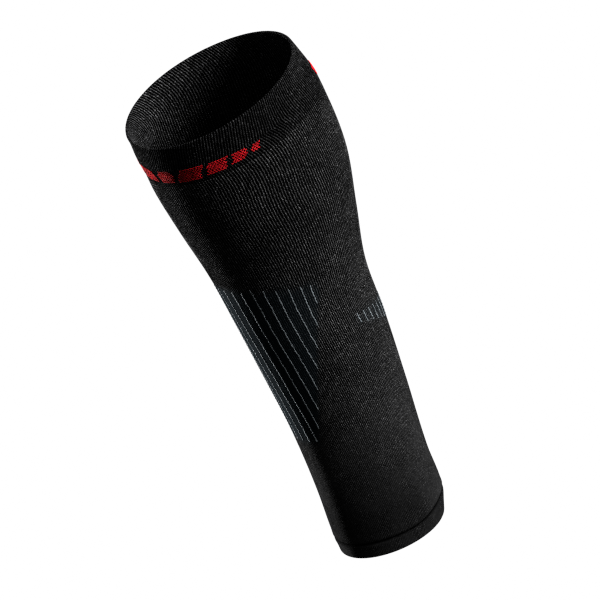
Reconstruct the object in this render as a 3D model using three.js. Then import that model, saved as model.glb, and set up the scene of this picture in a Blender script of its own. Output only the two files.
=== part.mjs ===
// Calf compression sleeve, one knitted tube kept in the form it has on a leg.
// Millimetres, +Z up the leg, the shin at -Y and the calf muscle at +Y.
// The origin lies on the leg's axis, halfway between the hem's edge and the rim.
import * as THREE from 'three';

// Overall form
const SLEEVE_LENGTH = 320; // along the axis, from the hem's edge to the rim
const ANKLE_DEPTH = 74.6; // front to back, just above the hem
const ANKLE_WIDTH = 63.4; // side to side, just above the hem
const CALF_DEPTH = 116.8; // front to back over the calf muscle
const CALF_WIDTH = 114; // side to side over the calf muscle
const CALF_SET_BACK = 8.3; // how far the calf's section lies behind the axis
const RIM_TILT = 6.7; // degrees, the rim is higher behind the knee
const HEM_TILT = -3.2; // degrees, the hem is lower at the heel's side

// Walls and the two turned edges
const TUBE_WALL = 1.2; // one layer of knit
const CUFF_WALL = 2.2; // two layers, turned over at the rim
const HEM_WALL = 2.2; // two layers, turned over at the hem's edge
const CUFF_HEIGHT = 27;
const HEM_HEIGHT = 11;
const SEAM_GAP = 0.3; // between the tube and each turned edge

// Knit: the ribs of stitches, called wales, run up the sleeve and wind a little round it
const WALES = 200; // round the sleeve
const KNIT_TWIST = 32.4; // degrees that a wale winds over the whole length

// Raised grey ribs and red marks, laid on the skin
const SKIN_GAP = 0.3;
const RIB_WIDTH = 0.8;
const RIB_THICKNESS = 0.5;
const MARK_THICKNESS = 0.4;
const MARK_HEIGHT = 8.6;
const MARK_ABOVE_SEAM = 2; // from the cuff's lower edge to the marks
const MARK_SLANT = 3; // wales that a mark leans over its height

// Mesh fineness
const SIDES = 64; // round the sleeve
const ROW_HEIGHT = 14; // longest step up the sleeve
const LEAST_ROWS = 4; // up the face of a turned edge
const FOLD_STEPS = 4; // round a turned edge
const MARK_STEP = 3; // wales in one step across a mark

// The sleeve's sections, from the hem's edge to the rim.
// height is a share of SLEEVE_LENGTH. depth and width say how far the section has grown from
// the ankle's (0) to the calf's (1). back is a share of CALF_SET_BACK.
const SECTIONS = [
  { height: 0, depth: -0.09, width: -0.1, back: -0.3 },
  { height: 0.045, depth: 0.014, width: -0.016, back: -0.03 },
  { height: 0.14, depth: 0, width: 0, back: 0.17 },
  { height: 0.3, depth: 0.094, width: 0.108, back: 0.49 },
  { height: 0.44, depth: 0.231, width: 0.248, back: 0.56 },
  { height: 0.56, depth: 0.333, width: 0.361, back: 0.52 },
  { height: 0.67, depth: 0.588, width: 0.593, back: 0.85 },
  { height: 0.78, depth: 0.893, width: 0.875, back: 1 },
  { height: 0.88, depth: 1, width: 1, back: 0.81 },
  { height: 0.935, depth: 0.985, width: 1.01, back: 0.69 },
  { height: 1, depth: 0.94, width: 0.998, back: 0.03 },
];

// Two panels of ribs, each alike on both sides of its middle rib.
// middle is the middle rib's wale at the panel's top, counted from the shin towards +X.
// pitch is in wales. perSide counts the ribs on one side of the middle one. The heights are
// shares of SLEEVE_LENGTH: top and bottom are the middle rib's ends, and topDrop is how far the
// outermost rib's top lies below. Past levelRibs, each rib ends higher by bottomRise.
const PANELS = [
  {
    name: 'shin_rib',
    middle: 0.8,
    pitch: 5,
    perSide: 9,
    top: 0.652,
    topDrop: 0.034,
    bottom: 0.284,
    bottomRise: 0.0435,
    levelRibs: 2.3,
  },
  {
    name: 'calf_rib',
    middle: 103.8,
    pitch: 4,
    perSide: 10,
    top: 0.478,
    topDrop: -0.026,
    bottom: 0.4,
    bottomRise: 0.0083,
    levelRibs: 0,
  },
];

// The marks of one group, from its middle outwards and alike on both sides.
// from and to are in wales, and tall is a share of MARK_HEIGHT. The first one is the middle mark.
const MARKS = [
  { from: -4, to: 4, tall: 1 },
  { from: 6, to: 15, tall: 1 },
  { from: 17, to: 24, tall: 0.86 },
  { from: 26, to: 31, tall: 0.7 },
  { from: 33, to: 36, tall: 0.5 },
];

// Groups of marks on the cuff: the middle's wale and how many marks of the table each side has
const MARK_GROUPS = [
  { middle: 12, perSide: 4 },
  { middle: 112, perSide: 2 },
];

const WALE_ANGLE = (2 * Math.PI) / WALES;

const knit = new THREE.MeshStandardMaterial({ color: 0x1b1c1e, roughness: 0.92, metalness: 0 });
const doubledKnit = new THREE.MeshStandardMaterial({ color: 0x17181a, roughness: 0.94, metalness: 0 });
const greyYarn = new THREE.MeshStandardMaterial({ color: 0x5c646a, roughness: 0.85, metalness: 0 });
const redYarn = new THREE.MeshStandardMaterial({ color: 0xd0141a, roughness: 0.85, metalness: 0 });

// One column of SECTIONS at a height share, on a smooth curve through its rows
function sectionValue(column, share) {
  const last = SECTIONS.length - 2;
  let row = 0;
  while (row < last && share > SECTIONS[row + 1].height) row += 1;
  const step = (i) => SECTIONS[i + 1].height - SECTIONS[i].height;
  const slope = (i) => (SECTIONS[i + 1][column] - SECTIONS[i][column]) / step(i);
  const tangent = (i) => {
    if (i === 0) return slope(0);
    if (i > last) return slope(last);
    return (slope(i - 1) * step(i) + slope(i) * step(i - 1)) / (step(i - 1) + step(i));
  };
  const s = (share - SECTIONS[row].height) / step(row);
  const rise = 3 * s * s - 2 * s * s * s;
  const startPull = (s * s * s - 2 * s * s + s) * step(row) * tangent(row);
  const endPull = (s * s * s - s * s) * step(row) * tangent(row + 1);
  return SECTIONS[row][column] * (1 - rise) + SECTIONS[row + 1][column] * rise + startPull + endPull;
}

// A point of the sleeve's outer skin. up is millimetres above the hem's edge, along the axis.
// around is the share of the girth from the shin towards +X, as an angle. out is the distance
// out of the skin, less than 0 inside the wall.
function skinPoint(up, around, out) {
  const share = up / SLEEVE_LENGTH;
  const grown = (small, large, column) => (small + (large - small) * sectionValue(column, share)) / 2;
  const halfDepth = grown(ANKLE_DEPTH, CALF_DEPTH, 'depth');
  const halfWidth = grown(ANKLE_WIDTH, CALF_WIDTH, 'width');
  const ovalness = halfDepth ** 2 - halfWidth ** 2;
  const angle = around + (ovalness / (4 * (halfDepth ** 2 + halfWidth ** 2))) * Math.sin(2 * around);
  const tilt = THREE.MathUtils.degToRad(HEM_TILT + (RIM_TILT - HEM_TILT) * share);
  const forward = (halfDepth + out) * Math.cos(angle);
  return new THREE.Vector3(
    (halfWidth + out) * Math.sin(angle),
    CALF_SET_BACK * sectionValue('back', share) - forward * Math.cos(tilt),
    up - SLEEVE_LENGTH / 2 - forward * Math.sin(tilt),
  );
}

// The angle round the girth of a wale counted at a reference height, once it has wound on
function waleAngle(wale, up, referenceUp) {
  const winding = THREE.MathUtils.degToRad(KNIT_TWIST) * ((referenceUp - up) / SLEEVE_LENGTH);
  return wale * WALE_ANGLE + winding;
}

// A closed body from vertices and quads, each quad seen counterclockwise from outside
function closedBody(points, quads) {
  const geometry = new THREE.BufferGeometry();
  geometry.setFromPoints(points);
  geometry.setIndex(quads.flatMap(([a, b, c, d]) => [a, b, c, a, c, d]));
  geometry.computeVertexNormals();
  return geometry;
}

// The cut through a wall as a closed loop: up the outer face, down the inner face.
// An end that is folded is round, and one that meets a seam is flat.
function wallLoop(low, high, wall, foldedLow, foldedHigh) {
  const radius = wall / 2;
  const start = low + (foldedLow ? radius : 0);
  const end = high - (foldedHigh ? radius : 0);
  const rows = Math.max(LEAST_ROWS, Math.ceil((end - start) / ROW_HEIGHT));
  const heights = Array.from({ length: rows + 1 }, (_, i) => start + ((end - start) * i) / rows);
  const turns = Array.from({ length: FOLD_STEPS - 1 }, (_, i) => (Math.PI * (i + 1)) / FOLD_STEPS);
  const fold = (centre, side) =>
    turns.map((turn) => ({
      up: centre + side * radius * Math.sin(turn),
      out: -radius + side * radius * Math.cos(turn),
    }));
  return [
    ...heights.map((up) => ({ up, out: 0 })),
    ...(foldedHigh ? fold(end, 1) : []),
    ...heights.toReversed().map((up) => ({ up, out: -wall })),
    ...(foldedLow ? fold(start, -1) : []),
  ];
}

// A wall all the way round the leg, its columns of facets wound with the knit
function ringGeometry(loop) {
  const points = [];
  const quads = [];
  for (let side = 0; side < SIDES; side += 1) {
    const next = (side + 1) % SIDES;
    loop.forEach(({ up, out }, i) => {
      const j = (i + 1) % loop.length;
      points.push(skinPoint(up, waleAngle((side * WALES) / SIDES, up, SLEEVE_LENGTH), out));
      quads.push([
        side * loop.length + i,
        next * loop.length + i,
        next * loop.length + j,
        side * loop.length + j,
      ]);
    });
  }
  return closedBody(points, quads);
}

// A thin patch on the skin. edge(s) gives the height and the two side wales at s from 0, its
// lower edge, to 1, its upper edge, and the wales are counted at referenceUp.
function patchGeometry(edge, thickness, rows, columns, referenceUp) {
  const points = [];
  const quads = [];
  const layer = (rows + 1) * (columns + 1);
  const at = (side, [row, column]) => side * layer + row * (columns + 1) + column;
  for (const out of [SKIN_GAP, SKIN_GAP + thickness]) {
    for (let row = 0; row <= rows; row += 1) {
      const { up, left, right } = edge(row / rows);
      for (let column = 0; column <= columns; column += 1) {
        const wale = left + ((right - left) * column) / columns;
        points.push(skinPoint(up, waleAngle(wale, up, referenceUp), out));
      }
    }
  }
  for (let row = 0; row < rows; row += 1) {
    for (let column = 0; column < columns; column += 1) {
      const cell = [[row, column], [row, column + 1], [row + 1, column + 1], [row + 1, column]];
      quads.push(cell.map((corner) => at(1, corner)));
      quads.push(cell.toReversed().map((corner) => at(0, corner)));
    }
  }
  const rim = [
    ...Array.from({ length: columns }, (_, i) => [0, i]),
    ...Array.from({ length: rows }, (_, i) => [i, columns]),
    ...Array.from({ length: columns }, (_, i) => [rows, columns - i]),
    ...Array.from({ length: rows }, (_, i) => [rows - i, 0]),
  ];
  rim.forEach((corner, i) => {
    const next = rim[(i + 1) % rim.length];
    quads.push([at(0, corner), at(0, next), at(1, next), at(1, corner)]);
  });
  return closedBody(points, quads);
}

function namedMesh(name, geometry, material) {
  const mesh = new THREE.Mesh(geometry, material);
  mesh.name = name;
  return mesh;
}

// The sleeve's three walls
function makeWalls() {
  const cuffSeam = SLEEVE_LENGTH - CUFF_HEIGHT;
  const half = SEAM_GAP / 2;
  const tube = wallLoop(HEM_HEIGHT + half, cuffSeam - half, TUBE_WALL, false, false);
  const cuff = wallLoop(cuffSeam + half, SLEEVE_LENGTH, CUFF_WALL, false, true);
  const hem = wallLoop(0, HEM_HEIGHT - half, HEM_WALL, true, false);
  return [
    namedMesh('knit_tube', ringGeometry(tube), knit),
    namedMesh('top_cuff', ringGeometry(cuff), doubledKnit),
    namedMesh('ankle_hem', ringGeometry(hem), doubledKnit),
  ];
}

// One rib of a panel, place ribs away from the panel's middle. It is RIB_WIDTH wide over the
// calf and narrows with the knit towards the ankle.
function makeRib(panel, place) {
  const away = Math.abs(place);
  const top = (panel.top - panel.topDrop * (away / panel.perSide) ** 2) * SLEEVE_LENGTH;
  const rise = panel.bottomRise * Math.max(0, away - panel.levelRibs);
  const bottom = (panel.bottom + rise) * SLEEVE_LENGTH;
  const wale = panel.middle + panel.pitch * place;
  const calfGirth = (Math.PI * (CALF_DEPTH + CALF_WIDTH)) / 2;
  const halfWidth = (RIB_WIDTH / 2 / calfGirth) * WALES;
  const edge = (s) => ({
    up: bottom + (top - bottom) * s,
    left: wale - halfWidth,
    right: wale + halfWidth,
  });
  const rows = Math.max(1, Math.ceil((top - bottom) / ROW_HEIGHT));
  return patchGeometry(edge, RIB_THICKNESS, rows, 1, panel.top * SLEEVE_LENGTH);
}

function makePanel(panel) {
  return Array.from({ length: 2 * panel.perSide + 1 }, (_, i) => {
    const number = String(i + 1).padStart(2, '0');
    return namedMesh(`${panel.name}_${number}`, makeRib(panel, i - panel.perSide), greyYarn);
  });
}

// One mark of a group. side is 1 or -1, for the half it is on, or 0 for the middle mark. The
// others lean outwards, and the middle one is a hexagon.
function makeMark(group, mark, side) {
  const low = SLEEVE_LENGTH - CUFF_HEIGHT + MARK_ABOVE_SEAM;
  const height = MARK_HEIGHT * mark.tall;
  const first = group.middle + (side < 0 ? -mark.to : mark.from);
  const last = group.middle + (side < 0 ? -mark.from : mark.to);
  const edge = (s) => {
    const lean = side * MARK_SLANT * mark.tall * (s - 0.5);
    const pinch = side === 0 ? MARK_SLANT * Math.abs(s - 0.5) : 0;
    return {
      up: low + (MARK_HEIGHT - height) / 2 + height * s,
      left: first + lean + pinch,
      right: last + lean - pinch,
    };
  };
  const columns = Math.max(1, Math.ceil((mark.to - mark.from) / MARK_STEP));
  return patchGeometry(edge, MARK_THICKNESS, 2, columns, low);
}

function makeMarks() {
  const geometries = MARK_GROUPS.flatMap((group) => {
    const [middle, ...others] = MARKS.slice(0, group.perSide + 1);
    const left = others.toReversed().map((mark) => makeMark(group, mark, -1));
    const right = others.map((mark) => makeMark(group, mark, 1));
    return [...left, makeMark(group, middle, 0), ...right];
  });
  return geometries.map((geometry, i) =>
    namedMesh(`cuff_mark_${String(i + 1).padStart(2, '0')}`, geometry, redYarn),
  );
}

const sleeve = new THREE.Group();
sleeve.name = 'calf_compression_sleeve';
sleeve.add(...makeWalls());
for (const panel of PANELS) sleeve.add(...makePanel(panel));
sleeve.add(...makeMarks());

export default sleeve;
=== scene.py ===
# Calf compression sleeve, knitted in black, with grey lines over the shin and the calf muscle and
# red marks on its cuff. Metres, in the solids' frame: +Z up the leg, the shin at -Y, the calf at +Y.
import math

import bpy
import numpy as np
from mathutils import Matrix, Vector


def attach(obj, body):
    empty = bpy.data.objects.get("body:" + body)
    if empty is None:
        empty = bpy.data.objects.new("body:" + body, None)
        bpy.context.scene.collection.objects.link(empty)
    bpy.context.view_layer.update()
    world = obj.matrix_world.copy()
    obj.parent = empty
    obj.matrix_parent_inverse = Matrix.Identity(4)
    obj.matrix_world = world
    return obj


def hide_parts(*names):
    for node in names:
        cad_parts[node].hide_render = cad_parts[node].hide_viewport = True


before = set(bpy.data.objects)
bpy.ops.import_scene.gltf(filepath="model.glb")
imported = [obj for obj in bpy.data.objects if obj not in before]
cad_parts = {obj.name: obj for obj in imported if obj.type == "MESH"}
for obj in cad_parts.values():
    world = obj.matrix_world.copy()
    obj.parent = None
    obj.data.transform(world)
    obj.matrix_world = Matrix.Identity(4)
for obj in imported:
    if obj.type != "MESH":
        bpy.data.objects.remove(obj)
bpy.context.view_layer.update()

MM = 0.001
BODY = "root"

# The sleeve's form, as in the solids
SLEEVE_LENGTH = 320 * MM
ANKLE_DEPTH = 74.6 * MM
ANKLE_WIDTH = 63.4 * MM
CALF_DEPTH = 116.8 * MM
CALF_WIDTH = 114 * MM
CALF_SET_BACK = 8.3 * MM
RIM_TILT = math.radians(6.7)
HEM_TILT = math.radians(-3.2)
TUBE_WALL = 1.2 * MM
CUFF_WALL = 1.5 * MM
HEM_WALL = 2.2 * MM
CUFF_HEIGHT = 27 * MM
HEM_HEIGHT = 11 * MM
WALES = 200
KNIT_TWIST_WALES = 18
CALF_GIRTH = math.pi * (CALF_DEPTH + CALF_WIDTH) / 2
WALE_ANGLE = 2 * math.pi / WALES
COURSE = 1.07 * MM

# The sections from the hem's edge to the rim. depth and width go from the ankle's size at 0 to
# the calf's at 1, and back is a share of CALF_SET_BACK.
SECTION_COLUMNS = ("height", "depth", "width", "back")
SECTIONS = [
    (0, -0.09, -0.1, -0.3),
    (0.045, 0.014, -0.016, -0.03),
    (0.14, 0, 0, 0.17),
    (0.3, 0.094, 0.108, 0.49),
    (0.44, 0.231, 0.248, 0.56),
    (0.56, 0.333, 0.361, 0.52),
    (0.67, 0.588, 0.593, 0.85),
    (0.78, 0.893, 0.875, 1),
    (0.88, 1, 1, 0.81),
    (0.935, 0.985, 1.01, 0.69),
    (1, 0.94, 0.998, 0.03),
]

# Wales lean out of their even winding: one way from the cuff's crease to the rim, and the other
# way for some 5 cm below it, over the front and the side alone. Heights are shares of the length.
CREASE = 0.944
RIM_LEAN_WALES = 2.2
RIM_LEAN_FRONT_WALES = 4.1
RIM_LEAN_MIDDLE = math.radians(20)
RIM_LEAN_FULL = math.radians(50)
RIM_LEAN_NONE = math.radians(115)
LOW_LEAN_WALES = 2.3
LOW_LEAN_END = 0.79
LOW_LEAN_MIDDLE = math.radians(28)
LOW_LEAN_FULL = math.radians(64)
LOW_LEAN_NONE = math.radians(104)
CREASE_DEPTH = 0.2 * MM
CREASE_WIDTH = 0.004
CREASE_MIDDLE = math.radians(45)
CREASE_FULL = math.radians(42)
CREASE_NONE = math.radians(72)
# Makes the hump x * (1 - x) ** 2 peak at 1
HUMP_SCALE = 27 / 4

# The rim isn't quite the section's oval: (middle and half reach in degrees, how far it stands out)
RIM_DENTS = [(-15, 75, -3.2 * MM), (192, 50, 1.2 * MM)]
RIM_DENT_LOW = 0.945

# The knit is closed up below the first share of the length, and not at all above the second
CLOSE_KNIT_LOW = 0.05
CLOSE_KNIT_HIGH = 0.48

# The knit's relief, cut into the meshes. Flat knit and closed-up knit lose a share of it.
COLUMNS_PER_WALE = 4
WALE_RELIEF = 0.13 * MM
HEM_RELIEF = 0.7 * WALE_RELIEF
FLAT_KNIT_LOSS = 0.75
CLOSE_KNIT_LOSS = 0.6
SEAM_HALF_GAP = 0.03 * MM
CUFF_THINNING = 12 * MM
HEM_SEAM_HALF_GAP = 0.04 * MM
HEM_TUCK = 1.3 * MM
HEM_TUCK_LENGTH = 1 * MM
HEM_ROLL = 0.5 * MM
HEM_ROLL_LENGTH = 3.5 * MM
MERGE_DISTANCE = 0.001 * MM

# Steps up each wall and round a fold. Beside the hem's seam, shares of a step get their own rows,
# and the tube's inner face has one row out of two.
TUBE_STEPS = 56
CUFF_STEPS = 20
HEM_STEPS = 12
FOLD_STEPS = 7
TUBE_SEAM_SHARES = (0.08, 0.18, 0.32, 0.6)
HEM_SEAM_SHARES = (0.6, 0.3)
TUBE_INNER_EVERY = 2

# Painted light and shade in the yarn's colour, against the outside's: painted shade deep in the hem's
# seam, painted shade on the tube's inner face and painted light on the cuff's inner face
SEAM_PAINTED_SHADE = 0.02
SEAM_PAINTED_SHADE_REACH = 1.15 * MM
TUBE_INNER_PAINTED_SHADE = 0.8
CUFF_INNER_PAINTED_LIGHT = 2.1

# Places with painted shade, where the yarn's colour is darkened for how the light falls: (middle, full
# and none in degrees, the shares of the length where that starts and where it is full, the tone there)
PAINTED_SHADE_PLACES = [
    (48, 50, 100, 0.24, 0.07, 0.48),
    (120, 24, 52, 0.6, 0.72, 0.7),
]

# The hem's seam climbs on the calf's side
SEAM_RISE = 6 * MM
SEAM_RISE_MIDDLE = math.radians(165)
SEAM_RISE_NONE = math.radians(70)
SEAM_RISE_TOP = 40 * MM

# Panels of grey lines. The middle line's wale is counted at the panel's top, pitch is in wales,
# and heights are shares of the length. The lines start level up to some lines from the middle, and
# then higher line by line. strays holds lines by how far they are from the middle: (shift outwards
# in wales, rise of the top).
PANELS = [
    {
        "name": "shin_rib",
        "line": "shin_line",
        "middle": 0.8,
        "pitch": 5,
        "per_side": 9,
        "top": 0.652,
        "top_drop": 0.034,
        "bottom": 0.284,
        "bottom_rise": 0.0435,
        "level": 2.3,
        "flatness": 1.0,
        "strays": {4: (0, 0.0085), 5: (0, 0.004), 9: (-1, 0)},
    },
    {
        "name": "calf_rib",
        "line": "calf_line",
        "middle": 103.8,
        "pitch": 4,
        "per_side": 10,
        "top": 0.478,
        "top_drop": -0.026,
        "bottom": 0.4,
        "bottom_rise": 0.0083,
        "level": 0,
        "flatness": 0.6,
        "strays": {},
    },
]
# The flat knit fades at a panel's edge, reaches past its last line by a share of the pitch, and
# is less flat there
PANEL_FADE_WALES = 2.5
PANEL_MARGIN = 0.45
PANEL_SIDE_LOSS = 0.45

# The grey yarns. They are round, and then pressed flat to a share of their height.
YARN_RADIUS = 0.27 * MM
YARN_FLATNESS = 0.4
YARN_LIFT = 0.13 * MM
YARN_WAVE = 0.12 * MM
YARN_POINTS_PER_COURSE = 2
YARN_SWING_WALES = 0.2
YARN_WANDER_WALES = 0.32
YARN_WANDER_POINTS = 5
YARN_SEED = 900

# Red marks on the cuff: (from, to) in wales from the group's middle, and the share of MARK_HEIGHT.
# Groups: (the middle's wale, how many marks stand on each side of the middle one)
MARKS = [(-4, 4, 1), (6, 15, 1), (17, 24, 0.86), (26, 31, 0.7), (33, 36, 0.5)]
MARK_GROUPS = [(12, 4), (113.5, 2)]
MARK_HEIGHT = 8.6 * MM
MARK_ABOVE_SEAM = 2 * MM
MARK_SLANT_WALES = 3
MARK_SEARCH_WALES = 8
RED_STITCH_LIFT = 0.16 * MM

# One lobe of a red stitch: its width in wales, and its length and thickness in courses
LOBE_SIZE = (0.3, 1.08, 0.5)
LOBE_OFFSET = 0.15
LOBE_LEAN = math.radians(17)
LOBE_TILT = math.radians(12)

# Stitches in the material, in wales and courses: how far they stray, how a loop's painted light and shade
# go from its edges to its middle, and how much of its height is lost where the knit is flat or closed up
DRIFT_SCALE = 0.09
DRIFT_WALES = 0.5
DRIFT_COURSES = 6
JITTER_SCALE = 0.7
JITTER_WALES = 0.7
LOOP_LEAN = 0.45
WALE_LIT = (0.7, 1)
BEAD_LIT = (0.25, 0.95)
BEAD_HEIGHT = 0.7
CLOSED_LIT = 0.22
FLAT_STITCH_LOSS = 0.8
CLOSE_STITCH_LOSS = 0.75
FLECK_POWER = 14

# Uneven dye, lint and spun fibres: how fine each noise is, and between which levels it shows
DYE_SCALE = 40.0
YARN_DYE_SCALE = 300.0
LINT_SCALE = 1500.0
PATCH_SCALE = 110.0
FIBRE_SCALE = 4200.0
NOISE_MIDDLE = (0.3, 0.7)
LINT_SHOWS = (0.62, 0.78)
PATCH_SHOWS = (0.38, 0.58)
DYE_SPREAD = 0.18

# How light the knit's yarn is: from stitch to stitch, in flecks and lint, and where it closes up
STITCH_LIGHT_LEAST = 0.45
STITCH_LIGHT_SPREAD = 1.2
FLECK_LIGHT = 1.4
LINT_LIGHT = 0.25
CLOSED_LINT_LIGHT = 0.3
CLOSENESS_LEAST = 0.48
CLOSENESS_PATCHES = 0.5
CLOSED_EVENNESS = 0.7
CLOSED_LIGHT = 1.05
FLAT_LIGHT_LEAST = 0.5
DARK_ROUGHNESS = 0.95
LIT_ROUGHNESS = 0.7
LIT_FULLY = 1.5
SHEEN_ROUGHNESS = 0.45
YARN_DARK_ROUGHNESS = 0.9
FIBRE_RELIEF = 0.1 * MM
FIBRE_STRENGTH = 0.6

# The knits: (the yarn's colour, the stitches' relief, the sheen, how light the painted shade leaves a
# stitch's ends)
FLAT_YARN = (0.0062, 0.0094, 0.0115)
KNITS = {
    "black_knit": ((0.043, 0.043, 0.0436), 0.4 * MM, 0.008, 0.04),
    "cuff_knit": ((0.0173, 0.0173, 0.0177), 0.4 * MM, 0.004, 0.3),
    "hem_knit": ((0.0256, 0.0256, 0.0261), 0.2 * MM, 0.008, 0.02),
}
# The yarns: (the darkest and the lightest colour, the sheen, the gloss)
YARNS = {
    "grey_yarn": ((0.045, 0.053, 0.058), (0.196, 0.221, 0.235), 0.01, 0.1),
    "red_yarn": ((0.14, 0.0008, 0.0018), (0.76, 0.013, 0.021), 0.0, 0.04),
}

# The camera stands to the wearer's left, above the rim, and is turned about its own axis
CAMERA_AZIMUTH = math.radians(75)
CAMERA_ELEVATION = math.radians(25.83)
CAMERA_ROLL = math.radians(-23.53)
CAMERA_DISTANCE = 2.0189
CAMERA_LENS = 200
CAMERA_SENSOR = 36
CAMERA_REACH = 100
AIM_UP = 9.87 * MM
AIM_RIGHT = 1.7 * MM
PIXEL_FILTER = 1.25
SAMPLE_CLAMP = 3

# The studio. Lights are (name, degrees from the shin towards +X, degrees up, distance, size, watts).
FLOOR_LEVEL = -0.6
FLOOR_SIZE = 60
FLOOR_SHADE = (0.04, 0.04, 0.04)
ROOM_LIGHT = 0.16
LIGHTS = [
    ("key", 160, 20, 1.6, 0.8, 52),
    ("fill", 133, 26, 1.6, 0.5, 46),
    ("edge", -60, 0, 1.8, 0.3, 220),
]


def section_value(column, share):
    """One column of SECTIONS at shares of the length, on a smooth curve through its rows."""
    heights = np.array([row[0] for row in SECTIONS])
    values = np.array([row[SECTION_COLUMNS.index(column)] for row in SECTIONS])
    steps = np.diff(heights)
    slopes = np.diff(values) / steps
    tangents = np.append(slopes, slopes[-1])
    tangents[1:-1] = (slopes[:-1] * steps[1:] + slopes[1:] * steps[:-1]) / (steps[:-1] + steps[1:])
    row = np.clip(np.searchsorted(heights, share) - 1, 0, len(steps) - 1)
    s = (share - heights[row]) / steps[row]
    rise = 3 * s**2 - 2 * s**3
    start_pull = (s**3 - 2 * s**2 + s) * steps[row] * tangents[row]
    end_pull = (s**3 - s**2) * steps[row] * tangents[row + 1]
    return values[row] * (1 - rise) + values[row + 1] * rise + start_pull + end_pull


def skin_point(up, around, out):
    """Points of the sleeve's skin: up along the axis from the hem's edge, around from the shin
    towards +X, and out of the skin."""
    up, around, out = np.broadcast_arrays(np.asarray(up, float), around, out)
    share = up / SLEEVE_LENGTH
    half_depth = (ANKLE_DEPTH + (CALF_DEPTH - ANKLE_DEPTH) * section_value("depth", share)) / 2
    half_width = (ANKLE_WIDTH + (CALF_WIDTH - ANKLE_WIDTH) * section_value("width", share)) / 2
    ovalness = (half_depth**2 - half_width**2) / (4 * (half_depth**2 + half_width**2))
    angle = around + ovalness * np.sin(2 * around)
    tilt = HEM_TILT + (RIM_TILT - HEM_TILT) * share
    forward = (half_depth + out) * np.cos(angle)
    x = (half_width + out) * np.sin(angle)
    y = CALF_SET_BACK * section_value("back", share) - forward * np.cos(tilt)
    z = up - SLEEVE_LENGTH / 2 - forward * np.sin(tilt)
    return np.stack([x, y, z], axis=-1)


def even_angle(wale, share, counted_at=1.0):
    """The angle of a wale that winds evenly, counted at a share of the length."""
    return (wale + KNIT_TWIST_WALES * (counted_at - share)) * WALE_ANGLE


def smooth_step(value):
    value = np.clip(value, 0, 1)
    return value * value * (3 - 2 * value)


def reach(around, middle, full, none):
    """1 near a middle angle, and 0 from an angle away from it that is called none."""
    off_middle = np.abs((around - middle + math.pi) % (2 * math.pi) - math.pi)
    return smooth_step((none - off_middle) / (none - full))


def wale_lean(around, share):
    """How many wales the knit leans out of its even winding."""
    height = np.maximum(0, (share - CREASE) / (1 - CREASE))
    sharp = reach(around, CREASE_MIDDLE, CREASE_FULL, CREASE_NONE)
    height = height * (sharp + (1 - sharp) * height)
    most = RIM_LEAN_WALES + RIM_LEAN_FRONT_WALES * reach(
        around, RIM_LEAN_MIDDLE, RIM_LEAN_FULL, RIM_LEAN_NONE
    )
    above = most * height
    below = np.clip((CREASE - share) / (CREASE - LOW_LEAN_END), 0, 1)
    low_lean = LOW_LEAN_WALES * HUMP_SCALE * below * (1 - below) ** 2
    front = reach(around, LOW_LEAN_MIDDLE, LOW_LEAN_FULL, LOW_LEAN_NONE)
    return above + low_lean * front


def rim_dents(around, share):
    """How far the rim stands out of the section's oval, or in."""
    height = smooth_step((share - RIM_DENT_LOW) / (1 - RIM_DENT_LOW))
    total = 0
    for middle, half_reach, depth in RIM_DENTS:
        total = total + depth * reach(around, math.radians(middle), 0, math.radians(half_reach))
    return total * height


def seam_rise(around, up):
    """How far the rows near the hem's seam climb, so that the seam isn't level."""
    below = np.clip(up / HEM_HEIGHT, 0, 1)
    above = np.clip((SEAM_RISE_TOP - up) / (SEAM_RISE_TOP - HEM_HEIGHT), 0, 1)
    return SEAM_RISE * reach(around, SEAM_RISE_MIDDLE, 0, SEAM_RISE_NONE) * below * above


def crease(around, share):
    """The shallow crease across the cuff, over the front and the side."""
    depth = CREASE_DEPTH * reach(around, CREASE_MIDDLE, CREASE_FULL, CREASE_NONE)
    return depth * np.exp(-(((share - CREASE) / CREASE_WIDTH) ** 2))


def painted_shade_tone(around, share):
    """How light the painted shade leaves the yarn's colour in these places, as a share of the yarn's own.
    """
    tone = 1
    for middle, full, none, start, whole, level in PAINTED_SHADE_PLACES:
        here = reach(around, math.radians(middle), math.radians(full), math.radians(none))
        tone = tone * (1 - (1 - level) * here * smooth_step((share - start) / (whole - start)))
    return tone


def wale_angle(wale, share):
    """The angle of a wale as the knit really runs. Wales are counted at the rim's even winding."""
    even = even_angle(wale, share)
    return even + wale_lean(even, share) * WALE_ANGLE


def panel_place(panel, wale, share):
    """Lines from the panel's middle one, at a wale counted at the rim."""
    middle = panel["middle"] - KNIT_TWIST_WALES * (1 - panel["top"])
    off = (wale - middle + WALES / 2) % WALES - WALES / 2
    return off / panel["pitch"]


def line_ends(panel, place):
    """The shares of the length at which a line starts and ends."""
    away = np.abs(place)
    bottom = panel["bottom"] + panel["bottom_rise"] * np.maximum(0, away - panel["level"])
    top = panel["top"] - panel["top_drop"] * (away / panel["per_side"]) ** 2
    return bottom, top


def panel_mask(wale, share):
    """1 where the knit is flat, round the grey lines, and 0 elsewhere."""
    mask = np.zeros(np.broadcast(wale, share).shape)
    for panel in PANELS:
        place = panel_place(panel, wale, share)
        bottom, top = line_ends(panel, place)
        beside = (panel["per_side"] + PANEL_MARGIN - np.abs(place)) * panel["pitch"]
        wale_height = CALF_GIRTH / WALES / SLEEVE_LENGTH
        inside = np.minimum(beside, np.minimum(top - share, share - bottom) / wale_height)
        inner = smooth_step(inside / PANEL_FADE_WALES + 0.5)
        fading = 1 - PANEL_SIDE_LOSS * np.minimum(np.abs(place) / panel["per_side"], 1) ** 2
        mask = np.maximum(mask, panel["flatness"] * fading * inner)
    return mask


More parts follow.
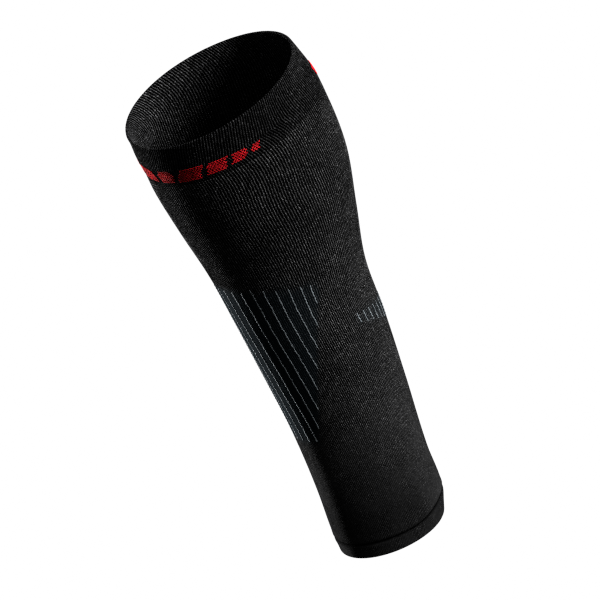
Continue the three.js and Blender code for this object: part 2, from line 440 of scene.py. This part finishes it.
def close_mask(share):
    """1 at the ankle, where the knit is hardly stretched and its ribs close up, and 0 above."""
    return 1 - smooth_step((share - CLOSE_KNIT_LOW) / (CLOSE_KNIT_HIGH - CLOSE_KNIT_LOW))


def deselect_all():
    bpy.ops.object.select_all(action="DESELECT")


def finish_piece(piece, material, nodes):
    piece.data.materials.clear()
    piece.data.materials.append(material)
    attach(piece, BODY)
    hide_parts(*nodes)
    return piece


def edge_rows(low, high, steps, wall, round_low, round_high, low_shares=(), high_shares=(), inner_every=1):
    """The cut through a wall, as (up, out) pairs: up the outer face and down the inner one.
    low_shares and high_shares are shares of the first and last steps that get rows of their own,
    and the inner face has one row out of inner_every."""
    radius = wall / 2
    start = low + (radius if round_low else 0)
    end = high - (radius if round_high else 0)
    face = [start + (end - start) * i / steps for i in range(steps + 1)]
    face[1:1] = [start + (face[1] - start) * part for part in low_shares]
    face[-1:-1] = [end - (end - face[-2]) * part for part in high_shares]
    turns = [math.pi * i / FOLD_STEPS for i in range(1, FOLD_STEPS)]
    over = [(end + radius * math.sin(a), radius * math.cos(a) - radius) for a in turns]
    under = [(start - radius * math.sin(a), -radius - radius * math.cos(a)) for a in turns]
    rows = [(up, 0) for up in face] + (over if round_high else [])
    rows += [(up, -wall) for up in face[::-1][::inner_every]] + (under if round_low else [])
    return rows


def store_zones(mesh, zones):
    """Keep values at the vertices, which the material reads by their names."""
    for label, values in zones.items():
        zone = mesh.attributes.new(label, "FLOAT", "POINT")
        zone.data.foreach_set("value", values)


def count_stitches(mesh, ups, outs):
    """Stretch the grid's UV map until it counts wales across and courses along the rows."""
    steps = np.hypot(np.diff(ups), np.diff(outs))
    along = np.concatenate([[0], np.cumsum(steps)])
    places = np.arange(len(ups)) / (len(ups) - 1)
    uv = np.empty(len(mesh.loops) * 2)
    mesh.uv_layers.active.data.foreach_get("uv", uv)
    uv = uv.reshape(-1, 2)
    uv[:, 0] *= WALES
    uv[:, 1] = (np.interp(uv[:, 1], places, along) + ups[0]) / COURSE
    mesh.uv_layers.active.data.foreach_set("uv", uv.ravel())


def knit_wall(
    name, rows, wall, relief=WALE_RELIEF, tuck=None, thinning=None, inner_painted_light_and_shade=1, painted_shade=None
):
    """A wall of knit round the leg, its wales raised on both faces. The grid closes on itself
    both ways, round the leg and from the last row to the first."""
    deselect_all()
    columns = WALES * COLUMNS_PER_WALE
    bpy.ops.mesh.primitive_grid_add(
        x_subdivisions=columns, y_subdivisions=len(rows), size=1, calc_uvs=True
    )
    piece = bpy.context.object
    piece.name = name
    mesh = piece.data
    flat = np.empty(len(mesh.vertices) * 3)
    mesh.vertices.foreach_get("co", flat)
    flat = flat.reshape(-1, 3)
    wale = np.rint((flat[:, 0] + 0.5) * columns) / COLUMNS_PER_WALE
    row = np.rint((flat[:, 1] + 0.5) * len(rows)).astype(int)
    ups = np.array([up for up, out in rows] + [rows[0][0]])
    outs = np.array([out for up, out in rows] + [rows[0][1]])
    up, out = ups[row], outs[row]
    share = up / SLEEVE_LENGTH
    flat_knit = panel_mask(wale, share)
    close_knit = close_mask(share)
    crest = -np.cos(2 * math.pi * wale)
    narrowest = ANKLE_WIDTH / CALF_WIDTH
    finer = narrowest + (1 - narrowest) * section_value("width", share)
    facing = 1 + 2 * out / wall
    kept = (1 - FLAT_KNIT_LOSS * flat_knit) * (1 - CLOSE_KNIT_LOSS * close_knit)
    raised = relief * finer * crest * kept * facing
    depth = np.clip(-out / wall, 0, 1)
    # Painted light and shade kept in the yarn's colour: painted shade deep in the hem's seam, and inner
    # faces painted darker in the tube and lighter in the cuff
    seam_shading = np.exp(-(((up - HEM_HEIGHT) / SEAM_PAINTED_SHADE_REACH) ** 2)) * (1 - depth)
    tone = (1 + (inner_painted_light_and_shade - 1) * depth) * (1 - (1 - SEAM_PAINTED_SHADE) * seam_shading)
    if tuck:
        raised -= tuck(up)
    if thinning:
        out = out * thinning(up)
    around = wale_angle(wale, share)
    # Painted shade darkens the yarn's colour over these places
    if painted_shade:
        tone *= painted_shade(around, share)
    raised += rim_dents(around, share) - crease(around, share)
    up = up + seam_rise(around, up)
    mesh.vertices.foreach_set("co", skin_point(up, around, out + raised).ravel())
    store_zones(mesh, {"flat_knit": flat_knit, "close_knit": close_knit, "painted_light_and_shade": tone})
    count_stitches(mesh, ups, outs)
    bpy.ops.object.mode_set(mode="EDIT")
    bpy.ops.mesh.select_all(action="SELECT")
    bpy.ops.mesh.remove_doubles(threshold=MERGE_DISTANCE)
    bpy.ops.object.mode_set(mode="OBJECT")
    bpy.ops.object.shade_smooth()
    return piece


def hem_tuck(up):
    """The knit is drawn in where it meets the hem."""
    off = up - HEM_HEIGHT
    drawn_in = HEM_TUCK * np.exp(-((off / HEM_TUCK_LENGTH) ** 2))
    return drawn_in - HEM_ROLL * np.exp(-((off / HEM_ROLL_LENGTH) ** 2))


def make_knit_tube(material):
    rows = edge_rows(
        HEM_HEIGHT + HEM_SEAM_HALF_GAP,
        SLEEVE_LENGTH - CUFF_HEIGHT - SEAM_HALF_GAP,
        TUBE_STEPS,
        TUBE_WALL,
        False,
        False,
        low_shares=TUBE_SEAM_SHARES,
        inner_every=TUBE_INNER_EVERY,
    )
    tube = knit_wall(
        "knitted_tube", rows, TUBE_WALL, tuck=hem_tuck, inner_painted_light_and_shade=TUBE_INNER_PAINTED_SHADE, painted_shade=painted_shade_tone
    )
    return finish_piece(tube, material, ["knit_tube"])


def cuff_thinning(up):
    """The cuff's wall as a share of its full thickness: one layer at the seam, two above it."""
    seam = SLEEVE_LENGTH - CUFF_HEIGHT
    single = TUBE_WALL / CUFF_WALL
    return single + (1 - single) * smooth_step((up - seam) / CUFF_THINNING)


def make_top_cuff(material):
    low = SLEEVE_LENGTH - CUFF_HEIGHT + SEAM_HALF_GAP
    rows = edge_rows(low, SLEEVE_LENGTH, CUFF_STEPS, CUFF_WALL, False, True)
    cuff = knit_wall(
        "turned_cuff",
        rows,
        CUFF_WALL,
        thinning=cuff_thinning,
        inner_painted_light_and_shade=CUFF_INNER_PAINTED_LIGHT,
        painted_shade=painted_shade_tone,
    )
    return finish_piece(cuff, material, ["top_cuff"])


def make_ankle_hem(material):
    top = HEM_HEIGHT - HEM_SEAM_HALF_GAP
    rows = edge_rows(0, top, HEM_STEPS, HEM_WALL, True, False, high_shares=HEM_SEAM_SHARES)
    hem = knit_wall("turned_hem", rows, HEM_WALL, relief=HEM_RELIEF, tuck=hem_tuck)
    return finish_piece(hem, material, ["ankle_hem"])


def yarn_path(panel, place, number):
    """Points that zigzag up one line's wale, and the skin's normals there."""
    bottom, top = line_ends(panel, place)
    shift, rise = panel["strays"].get(abs(place), (0, 0))
    top += rise
    count = int((top - bottom) * SLEEVE_LENGTH / COURSE * YARN_POINTS_PER_COURSE)
    share = np.linspace(bottom, top, count)
    step = np.arange(count)
    wander = np.random.default_rng(YARN_SEED + number).uniform(-1, 1, count)
    evened = np.ones(YARN_WANDER_POINTS) / YARN_WANDER_POINTS
    wander = np.convolve(wander, evened, mode="same") * YARN_WANDER_WALES
    wale = panel["middle"] + panel["pitch"] * place + np.sign(place) * shift
    wale = wale + YARN_SWING_WALES * (-1.0) ** step + wander
    around = even_angle(wale, share, panel["top"])
    out = YARN_LIFT + YARN_WAVE * np.cos(math.pi * step / 2)
    points = skin_point(share * SLEEVE_LENGTH, around, out)
    outwards = skin_point(share * SLEEVE_LENGTH, around, out + YARN_RADIUS) - points
    return points, outwards / np.linalg.norm(outwards, axis=1, keepdims=True)


def press_flat(line, centres, normals):
    """Press a round yarn towards the skin."""
    flat = np.empty(len(line.data.vertices) * 3)
    line.data.vertices.foreach_get("co", flat)
    points = flat.reshape(-1, 3)
    nearest = np.argmin(np.linalg.norm(points[:, None] - centres[None], axis=2), axis=1)
    normals = normals[nearest]
    raised = np.sum((points - centres[nearest]) * normals, axis=1, keepdims=True)
    points = points - (1 - YARN_FLATNESS) * raised * normals
    line.data.vertices.foreach_set("co", points.ravel())


def make_line(panel, place, number, material):
    """A grey yarn up one wale, two points to a course."""
    points, normals = yarn_path(panel, place, number)
    name = f"{panel['line']}_{number:02d}"
    curve = bpy.data.curves.new(name, "CURVE")
    curve.dimensions = "3D"
    curve.bevel_depth = YARN_RADIUS
    curve.bevel_resolution = 1
    curve.use_fill_caps = True
    spline = curve.splines.new("POLY")
    spline.points.add(len(points) - 1)
    spline.points.foreach_set("co", np.column_stack([points, np.ones(len(points))]).ravel())
    line = bpy.data.objects.new(name, curve)
    bpy.context.collection.objects.link(line)
    deselect_all()
    line.select_set(True)
    bpy.context.view_layer.objects.active = line
    bpy.ops.object.convert(target="MESH")
    line = bpy.context.object
    press_flat(line, points, normals)
    bpy.ops.object.shade_smooth()
    return finish_piece(line, material, [f"{panel['name']}_{number:02d}"])


def make_panel_lines(panel, material):
    places = range(-panel["per_side"], panel["per_side"] + 1)
    return [make_line(panel, place, i + 1, material) for i, place in enumerate(places)]


def make_red_stitch():
    """One V of red yarn, two leaning lobes, as vertices and faces. It stands in a cell that is
    one wale wide and one course high, with the wale along Y and the outside at +Z."""
    halves = []
    for side in (-1, 1):
        deselect_all()
        bpy.ops.mesh.primitive_uv_sphere_add(segments=8, ring_count=6, radius=0.5)
        lobe = bpy.context.object
        lobe.scale = LOBE_SIZE
        lobe.rotation_euler = (LOBE_TILT, 0, -side * LOBE_LEAN)
        lobe.location = (LOBE_OFFSET * side, 0, 0)
        bpy.ops.object.transform_apply(location=True, rotation=True, scale=True)
        halves.append(lobe)
    for lobe in halves:
        lobe.select_set(True)
    bpy.ops.object.join()
    stitch = bpy.context.object
    vertices = np.array([v.co[:] for v in stitch.data.vertices])
    faces = [tuple(p.vertices) for p in stitch.data.polygons]
    bpy.data.objects.remove(stitch)
    return vertices, faces


def mark_cells(group_middle, mark, side):
    """The wales and heights of the stitches inside one mark's outline."""
    first_off, last_off, tall = mark
    height = MARK_HEIGHT * tall
    low = SLEEVE_LENGTH - CUFF_HEIGHT + MARK_ABOVE_SEAM
    start = low + (MARK_HEIGHT - height) / 2
    counted_at = low / SLEEVE_LENGTH
    first = group_middle + (-last_off if side < 0 else first_off)
    last = group_middle + (-first_off if side < 0 else last_off)
    searched = np.arange(math.floor(first - MARK_SEARCH_WALES), last + MARK_SEARCH_WALES) + 0.5
    rows = round(height / COURSE)
    for row in range(rows):
        s = (row + 0.5) / rows
        lean = side * MARK_SLANT_WALES * tall * (s - 0.5)
        pinch = 0 if side else MARK_SLANT_WALES * abs(s - 0.5)
        up = start + height * s
        share = up / SLEEVE_LENGTH
        for rim_wale in searched:
            around = wale_angle(rim_wale, share)
            counted = around / WALE_ANGLE - KNIT_TWIST_WALES * (counted_at - share)
            if first + lean + pinch <= counted < last + lean - pinch:
                yield around, up


def make_mark(number, group_middle, mark, side, stitch, material):
    stitch_vertices, stitch_faces = stitch
    vertices, faces = [], []
    for around, up in mark_cells(group_middle, mark, side):
        centre = skin_point(up, around, RED_STITCH_LIFT)
        across = skin_point(up, around + WALE_ANGLE, RED_STITCH_LIFT) - centre
        higher = up + COURSE
        wound = around + KNIT_TWIST_WALES * WALE_ANGLE * (up - higher) / SLEEVE_LENGTH
        along = skin_point(higher, wound, RED_STITCH_LIFT) - centre
        outwards = np.cross(across, along)
        outwards *= COURSE / np.linalg.norm(outwards)
        placed = stitch_vertices @ np.array([across, along, outwards]) + centre
        faces += [tuple(i + len(vertices) for i in face) for face in stitch_faces]
        vertices += [tuple(point) for point in placed]
    name = f"red_mark_{number:02d}"
    mesh = bpy.data.meshes.new(name)
    mesh.from_pydata(vertices, [], faces)
    piece = bpy.data.objects.new(name, mesh)
    bpy.context.collection.objects.link(piece)
    deselect_all()
    piece.select_set(True)
    bpy.context.view_layer.objects.active = piece
    bpy.ops.object.shade_smooth()
    return finish_piece(piece, material, [f"cuff_mark_{number:02d}"])


def make_marks(material):
    stitch = make_red_stitch()
    marks = []
    for middle, per_side in MARK_GROUPS:
        outer = MARKS[1 : per_side + 1]
        row = [(mark, -1) for mark in outer[::-1]] + [(MARKS[0], 0)] + [(mark, 1) for mark in outer]
        for mark, side in row:
            marks.append(make_mark(len(marks) + 1, middle, mark, side, stitch, material))
    return marks


class Graph:
    """A node tree with short calls for the nodes that the finishes use."""

    def __init__(self, tree):
        self.tree = tree

    def fill(self, node, inputs):
        """Link or set a node's inputs, by name or by number."""
        for key, value in dict(inputs).items():
            if isinstance(value, bpy.types.NodeSocket):
                self.tree.links.new(value, node.inputs[key])
            else:
                node.inputs[key].default_value = value

    def node(self, kind, inputs=(), **settings):
        node = self.tree.nodes.new(kind)
        for key, value in settings.items():
            setattr(node, key, value)
        self.fill(node, inputs)
        return node

    def noise(self, place, scale, detail):
        inputs = {"Vector": place, "Scale": scale, "Detail": detail}
        return self.node("ShaderNodeTexNoise", inputs).outputs

    def attribute(self, name):
        return self.node("ShaderNodeAttribute", attribute_name=name).outputs["Fac"]

    def math(self, operation, a, b=0.0, c=0.0):
        return self.node("ShaderNodeMath", {0: a, 1: b, 2: c}, operation=operation).outputs[0]

    def stray(self, value, noise, size):
        """Move a value by a noise, by up to half of size either way."""
        return self.math("MULTIPLY_ADD", self.math("SUBTRACT", noise, 0.5), size, value)

    def ramp(self, value, levels, to_low=0.0, to_high=1.0):
        inputs = {"Value": value, "From Min": levels[0], "From Max": levels[1]}
        inputs |= {"To Min": to_low, "To Max": to_high}
        node = self.node("ShaderNodeMapRange", inputs, interpolation_type="SMOOTHSTEP")
        return node.outputs["Result"]

    def scaled(self, colour, factor):
        inputs = {0: colour, "Scale": factor}
        return self.node("ShaderNodeVectorMath", inputs, operation="SCALE").outputs[0]

    def mix(self, factor, a, b):
        """A number between two others, which a Mix node takes at inputs 2 and 3."""
        return self.node("ShaderNodeMix", {"Factor": factor, 2: a, 3: b}).outputs[0]

    def blend(self, factor, a, b):
        """A colour between two others, which a Mix node takes at inputs 6 and 7."""
        inputs = {"Factor": factor, 6: a, 7: b}
        return self.node("ShaderNodeMix", inputs, data_type="RGBA").outputs[2]


def new_group(name, inputs, outputs):
    tree = bpy.data.node_groups.new(name, "ShaderNodeTree")
    for label, kind, value in inputs:
        socket = tree.interface.new_socket(name=label, in_out="INPUT", socket_type=kind)
        if value is not None:
            socket.default_value = value
    for label in outputs:
        tree.interface.new_socket(name=label, in_out="OUTPUT", socket_type="NodeSocketFloat")
    return tree


def stitch_group():
    """Knit stitches from a UV map that counts wales and courses: each wale is a column of V
    loops with a dark groove on both sides. Lit Yarn is painted light and shade for the colour: light on
    the loops, painted shade in the grooves and the gaps."""
    inputs = [
        ("Wales and Courses", "NodeSocketVector", None),
        ("Loop Lean", "NodeSocketFloat", LOOP_LEAN),
        ("Flatness", "NodeSocketFloat", 0.0),
        ("Closeness", "NodeSocketFloat", 0.0),
        ("Stitch Gap", "NodeSocketFloat", 0.02),
    ]
    tree = new_group("Knit Stitches", inputs, ["Height", "Lit Yarn", "Stitch Shade", "Fleck"])
    g = Graph(tree)
    given = g.node("NodeGroupInput").outputs
    place = given["Wales and Courses"]
    count = g.node("ShaderNodeSeparateXYZ", {0: place}).outputs
    drift = g.node("ShaderNodeSeparateXYZ", {0: g.noise(place, DRIFT_SCALE, 2.0)["Color"]}).outputs
    across = g.stray(count["X"], drift["X"], DRIFT_WALES)
    across = g.stray(across, g.noise(place, JITTER_SCALE, 1.0)["Fac"], JITTER_WALES)
    along = g.stray(count["Y"], drift["Y"], DRIFT_COURSES)
    own = g.node("ShaderNodeTexWhiteNoise", {"W": g.math("FLOOR", across)}, noise_dimensions="1D")
    along = g.math("ADD", own.outputs["Value"], along)
    wale = g.math("FRACT", across)
    side = g.math("MULTIPLY", g.math("ABSOLUTE", g.math("SUBTRACT", wale, 0.5)), 2)
    course = g.math("ADD", along, g.math("MULTIPLY", side, given["Loop Lean"]))
    rounded = g.math("COSINE", g.math("MULTIPLY", side, math.pi / 2))
    bead = g.math("SINE", g.math("MULTIPLY", g.math("FRACT", course), math.pi))
    loop = {"X": g.math("FLOOR", across), "Y": g.math("FLOOR", course)}
    loop = g.node("ShaderNodeCombineXYZ", loop).outputs[0]
    shade = g.node("ShaderNodeTexWhiteNoise", {"Vector": loop}, noise_dimensions="3D").outputs["Value"]
    lit_bead = g.ramp(bead, BEAD_LIT, given["Stitch Gap"], 1)
    lit = g.math("MULTIPLY", g.ramp(rounded, WALE_LIT), lit_bead)
    lit = g.mix(given["Closeness"], lit, CLOSED_LIT)
    height = g.math("MULTIPLY", rounded, g.math("MULTIPLY_ADD", bead, BEAD_HEIGHT, 1 - BEAD_HEIGHT))
    not_flat = g.math("SUBTRACT", 1, g.math("MULTIPLY", given["Flatness"], FLAT_STITCH_LOSS))
    not_closed = g.math("SUBTRACT", 1, g.math("MULTIPLY", given["Closeness"], CLOSE_STITCH_LOSS))
    height = g.math("MULTIPLY", height, g.math("MULTIPLY", not_flat, not_closed))
    fleck = g.math("POWER", shade, FLECK_POWER)
    results = {"Height": height, "Lit Yarn": lit, "Stitch Shade": shade, "Fleck": fleck}
    g.node("NodeGroupOutput", results)
    return tree


def wear_group():
    """Uneven dye and lint, by place on the piece: a slow change of tone, small pale fibres, and
    patches where the stitches have closed up."""
    inputs = [("Spread", "NodeSocketFloat", DYE_SCALE)]
    tree = new_group("Dye and Lint", inputs, ["Tone", "Lint", "Patches"])
    g = Graph(tree)
    spread = g.node("NodeGroupInput").outputs["Spread"]
    place = g.node("ShaderNodeTexCoord").outputs["Object"]
    tone = g.ramp(g.noise(place, spread, 3.0)["Fac"], NOISE_MIDDLE, 1 - DYE_SPREAD, 1 + DYE_SPREAD)
    lint = g.ramp(g.noise(place, LINT_SCALE, 1.0)["Fac"], LINT_SHOWS)
    patches = g.ramp(g.noise(place, PATCH_SCALE, 2.0)["Fac"], PATCH_SHOWS)
    g.node("NodeGroupOutput", {"Tone": tone, "Lint": lint, "Patches": patches})
    return tree


def new_material(name):
    material = bpy.data.materials.new(name)
    material.use_nodes = True
    tree = material.node_tree
    tree.nodes.clear()
    shader = tree.nodes.new("ShaderNodeBsdfPrincipled")
    output = tree.nodes.new("ShaderNodeOutputMaterial")
    tree.links.new(shader.outputs["BSDF"], output.inputs["Surface"])
    return material, Graph(tree), shader


def knit_material(name, stitches, wear):
    """Lit stitches with painted shade in their grooves, which give way to even blue-green knit round the
    lines.
    """
    yarn, bump, sheen, stitch_gap = KNITS[name]
    material, g, shader = new_material(name)
    worn = g.node("ShaderNodeGroup", node_tree=wear).outputs
    flat_zone = g.attribute("flat_knit")
    closed_up = g.math("MULTIPLY_ADD", worn["Patches"], CLOSENESS_PATCHES, CLOSENESS_LEAST)
    closed_up = g.math("MULTIPLY", g.attribute("close_knit"), closed_up)
    inputs = {
        "Wales and Courses": g.node("ShaderNodeUVMap", uv_map="UVMap").outputs["UV"],
        "Flatness": flat_zone,
        "Closeness": closed_up,
        "Stitch Gap": stitch_gap,
    }
    knit = g.node("ShaderNodeGroup", inputs, node_tree=stitches).outputs
    light = g.math("MULTIPLY_ADD", knit["Stitch Shade"], STITCH_LIGHT_SPREAD, STITCH_LIGHT_LEAST)
    light = g.math("MULTIPLY_ADD", knit["Fleck"], FLECK_LIGHT, light)
    light = g.mix(g.math("MULTIPLY", closed_up, CLOSED_EVENNESS), light, CLOSED_LIGHT)
    light = g.math("MULTIPLY", light, worn["Tone"])
    lit = g.math("MULTIPLY", knit["Lit Yarn"], light)
    lint_light = g.math("MULTIPLY_ADD", closed_up, CLOSED_LINT_LIGHT, LINT_LIGHT)
    lit = g.math("MULTIPLY_ADD", worn["Lint"], lint_light, lit)
    # Painted light and shade from the vertices: the darkened seam and the lighter or darker inner faces
    lit = g.math("MULTIPLY", lit, g.attribute("painted_light_and_shade"))
    flat_lit = g.math("MULTIPLY_ADD", lit, 1 - FLAT_LIGHT_LEAST, FLAT_LIGHT_LEAST)
    relief = g.node("ShaderNodeBump", {"Strength": 1.0, "Distance": bump, "Height": knit["Height"]})
    finish = {
        "Base Color": g.blend(flat_zone, g.scaled(yarn, lit), g.scaled(FLAT_YARN, flat_lit)),
        "Roughness": g.ramp(lit, (0, LIT_FULLY), DARK_ROUGHNESS, LIT_ROUGHNESS),
        "Normal": relief.outputs["Normal"],
        "Specular IOR Level": 0.0,
        "Sheen Weight": sheen,
        "Sheen Roughness": SHEEN_ROUGHNESS,
    }
    g.fill(shader, finish)
    return material


def yarn_material(name, wear):
    """A spun yarn: fine fibres over an uneven tone."""
    dark, light, sheen, gloss = YARNS[name]
    material, g, shader = new_material(name)
    place = g.node("ShaderNodeTexCoord").outputs["Object"]
    fibres = g.noise(place, FIBRE_SCALE, 2.0)["Fac"]
    worn = g.node("ShaderNodeGroup", {"Spread": YARN_DYE_SCALE}, node_tree=wear)
    mixed = g.math("MULTIPLY", fibres, worn.outputs["Tone"])
    inputs = {"Strength": FIBRE_STRENGTH, "Distance": FIBRE_RELIEF, "Height": fibres}
    relief = g.node("ShaderNodeBump", inputs)
    finish = {
        "Base Color": g.blend(g.ramp(mixed, NOISE_MIDDLE), (*dark, 1), (*light, 1)),
        "Roughness": g.ramp(mixed, NOISE_MIDDLE, YARN_DARK_ROUGHNESS, LIT_ROUGHNESS),
        "Normal": relief.outputs["Normal"],
        "Specular IOR Level": gloss,
        "Sheen Weight": sheen,
    }
    g.fill(shader, finish)
    return material


def direction(azimuth, elevation):
    """The way out from the sleeve, at an angle round from the shin towards +X and one upwards."""
    level = math.cos(elevation)
    return Vector((math.sin(azimuth) * level, -math.cos(azimuth) * level, math.sin(elevation)))


def make_camera():
    data = bpy.data.cameras.new("camera")
    data.lens = CAMERA_LENS
    data.sensor_width = CAMERA_SENSOR
    data.clip_end = CAMERA_REACH
    camera = bpy.data.objects.new("camera", data)
    bpy.context.collection.objects.link(camera)
    back = direction(CAMERA_AZIMUTH, CAMERA_ELEVATION)
    right = Vector((math.cos(CAMERA_AZIMUTH), math.sin(CAMERA_AZIMUTH), 0))
    upwards = back.cross(right)
    aim = upwards * AIM_UP + right * AIM_RIGHT
    turned = Matrix((right, upwards, back)).transposed() @ Matrix.Rotation(CAMERA_ROLL, 3, "Z")
    camera.matrix_world = Matrix.Translation(aim + back * CAMERA_DISTANCE) @ turned.to_4x4()
    bpy.context.scene.camera = camera


def make_light(name, azimuth, elevation, distance, size, power):
    """A square soft light that faces the sleeve, placed as LIGHTS says."""
    data = bpy.data.lights.new(name, "AREA")
    data.shape = "SQUARE"
    data.size = size
    data.energy = power
    light = bpy.data.objects.new(name, data)
    bpy.context.collection.objects.link(light)
    away = direction(math.radians(azimuth), math.radians(elevation))
    light.location = away * distance
    light.rotation_euler = away.to_track_quat("Z", "Y").to_euler()


def make_floor():
    """A plain white floor, seen evenly lit."""
    bpy.ops.mesh.primitive_plane_add(size=FLOOR_SIZE, location=(0, 0, FLOOR_LEVEL))
    floor = bpy.context.object
    floor.name = "floor"
    material = bpy.data.materials.new("white_floor")
    material.use_nodes = True
    tree = material.node_tree
    tree.nodes.clear()
    g = Graph(tree)
    seen = g.node("ShaderNodeEmission", {"Color": (1, 1, 1, 1), "Strength": 1.0})
    lit = g.node("ShaderNodeBsdfDiffuse", {"Color": (*FLOOR_SHADE, 1)})
    direct = g.node("ShaderNodeLightPath").outputs["Is Camera Ray"]
    mixed = g.node("ShaderNodeMixShader", {0: direct, 1: lit.outputs[0], 2: seen.outputs[0]})
    output = g.node("ShaderNodeOutputMaterial")
    tree.links.new(mixed.outputs[0], output.inputs["Surface"])
    floor.data.materials.append(material)


def make_world():
    """White where the camera sees it, and a weak light from all round elsewhere."""
    world = bpy.data.worlds.new("studio")
    bpy.context.scene.world = world
    world.use_nodes = True
    tree = world.node_tree
    tree.nodes.clear()
    g = Graph(tree)
    direct = g.node("ShaderNodeLightPath").outputs["Is Camera Ray"]
    level = g.math("MULTIPLY_ADD", direct, 1 - ROOM_LIGHT, ROOM_LIGHT)
    air = g.node("ShaderNodeBackground", {"Color": (1, 1, 1, 1), "Strength": level})
    output = g.node("ShaderNodeOutputWorld")
    tree.links.new(air.outputs[0], output.inputs["Surface"])


make_camera()
bpy.context.scene.view_settings.view_transform = "Standard"
bpy.context.scene.cycles.use_denoising = False
bpy.context.scene.cycles.filter_width = PIXEL_FILTER
bpy.context.scene.cycles.sample_clamp_direct = SAMPLE_CLAMP
bpy.context.scene.cycles.sample_clamp_indirect = SAMPLE_CLAMP

stitches = stitch_group()
wear = wear_group()
black_knit = knit_material("black_knit", stitches, wear)
cuff_knit = knit_material("cuff_knit", stitches, wear)
hem_knit = knit_material("hem_knit", stitches, wear)
grey_yarn = yarn_material("grey_yarn", wear)
red_yarn = yarn_material("red_yarn", wear)

tube = make_knit_tube(black_knit)
cuff = make_top_cuff(cuff_knit)
hem = make_ankle_hem(hem_knit)
lines = [line for panel in PANELS for line in make_panel_lines(panel, grey_yarn)]
marks = make_marks(red_yarn)

make_floor()
make_world()
for light in LIGHTS:
    make_light(*light)
